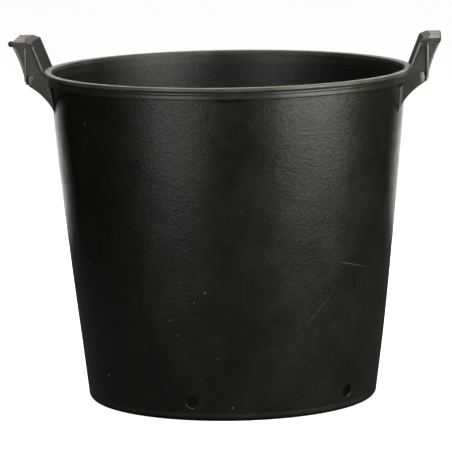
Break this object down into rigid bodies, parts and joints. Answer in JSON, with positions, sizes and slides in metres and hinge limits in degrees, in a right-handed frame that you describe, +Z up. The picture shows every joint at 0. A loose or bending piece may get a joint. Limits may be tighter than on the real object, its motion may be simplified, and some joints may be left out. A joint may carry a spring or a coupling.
{
  "type": "florist bucket",
  "caption": "Large round black plastic tub for plants and cut stems, tapered, with a stepped rim, upright carrying ears and drain holes low in the wall.",
  "frame": {"origin": "centre of the circle that the foot ring stands on", "axes": "+Z up along the tub's axis, +X through the right carrying ear"},
  "size_m": [0.5247, 0.45, 0.4455],
  "materials": {
    "wall_plastic": "satin, fine moulded grain",
    "base_plastic": "matte",
    "rim_plastic": "satin, scuffed on top",
    "ear_plastic": "satin, scuffed on top"
  },
  "bodies": {
    "root": {"tub_wall": "wall_plastic", "foot_ring": "base_plastic", "tub_floor": "base_plastic", "floor_ribs": "base_plastic", "gate_boss": "base_plastic", "rim_collar": "rim_plastic", "rim_lip": "rim_plastic", "right_back_plate": "ear_plastic", "right_grip": "ear_plastic", "right_front_cheek": "ear_plastic", "right_rear_cheek": "ear_plastic", "right_deck": "ear_plastic", "right_skirt": "ear_plastic", "left_back_plate": "ear_plastic", "left_grip": "ear_plastic", "left_front_cheek": "ear_plastic", "left_rear_cheek": "ear_plastic", "left_deck": "ear_plastic", "left_skirt": "ear_plastic"}
  },
  "joints": []
}
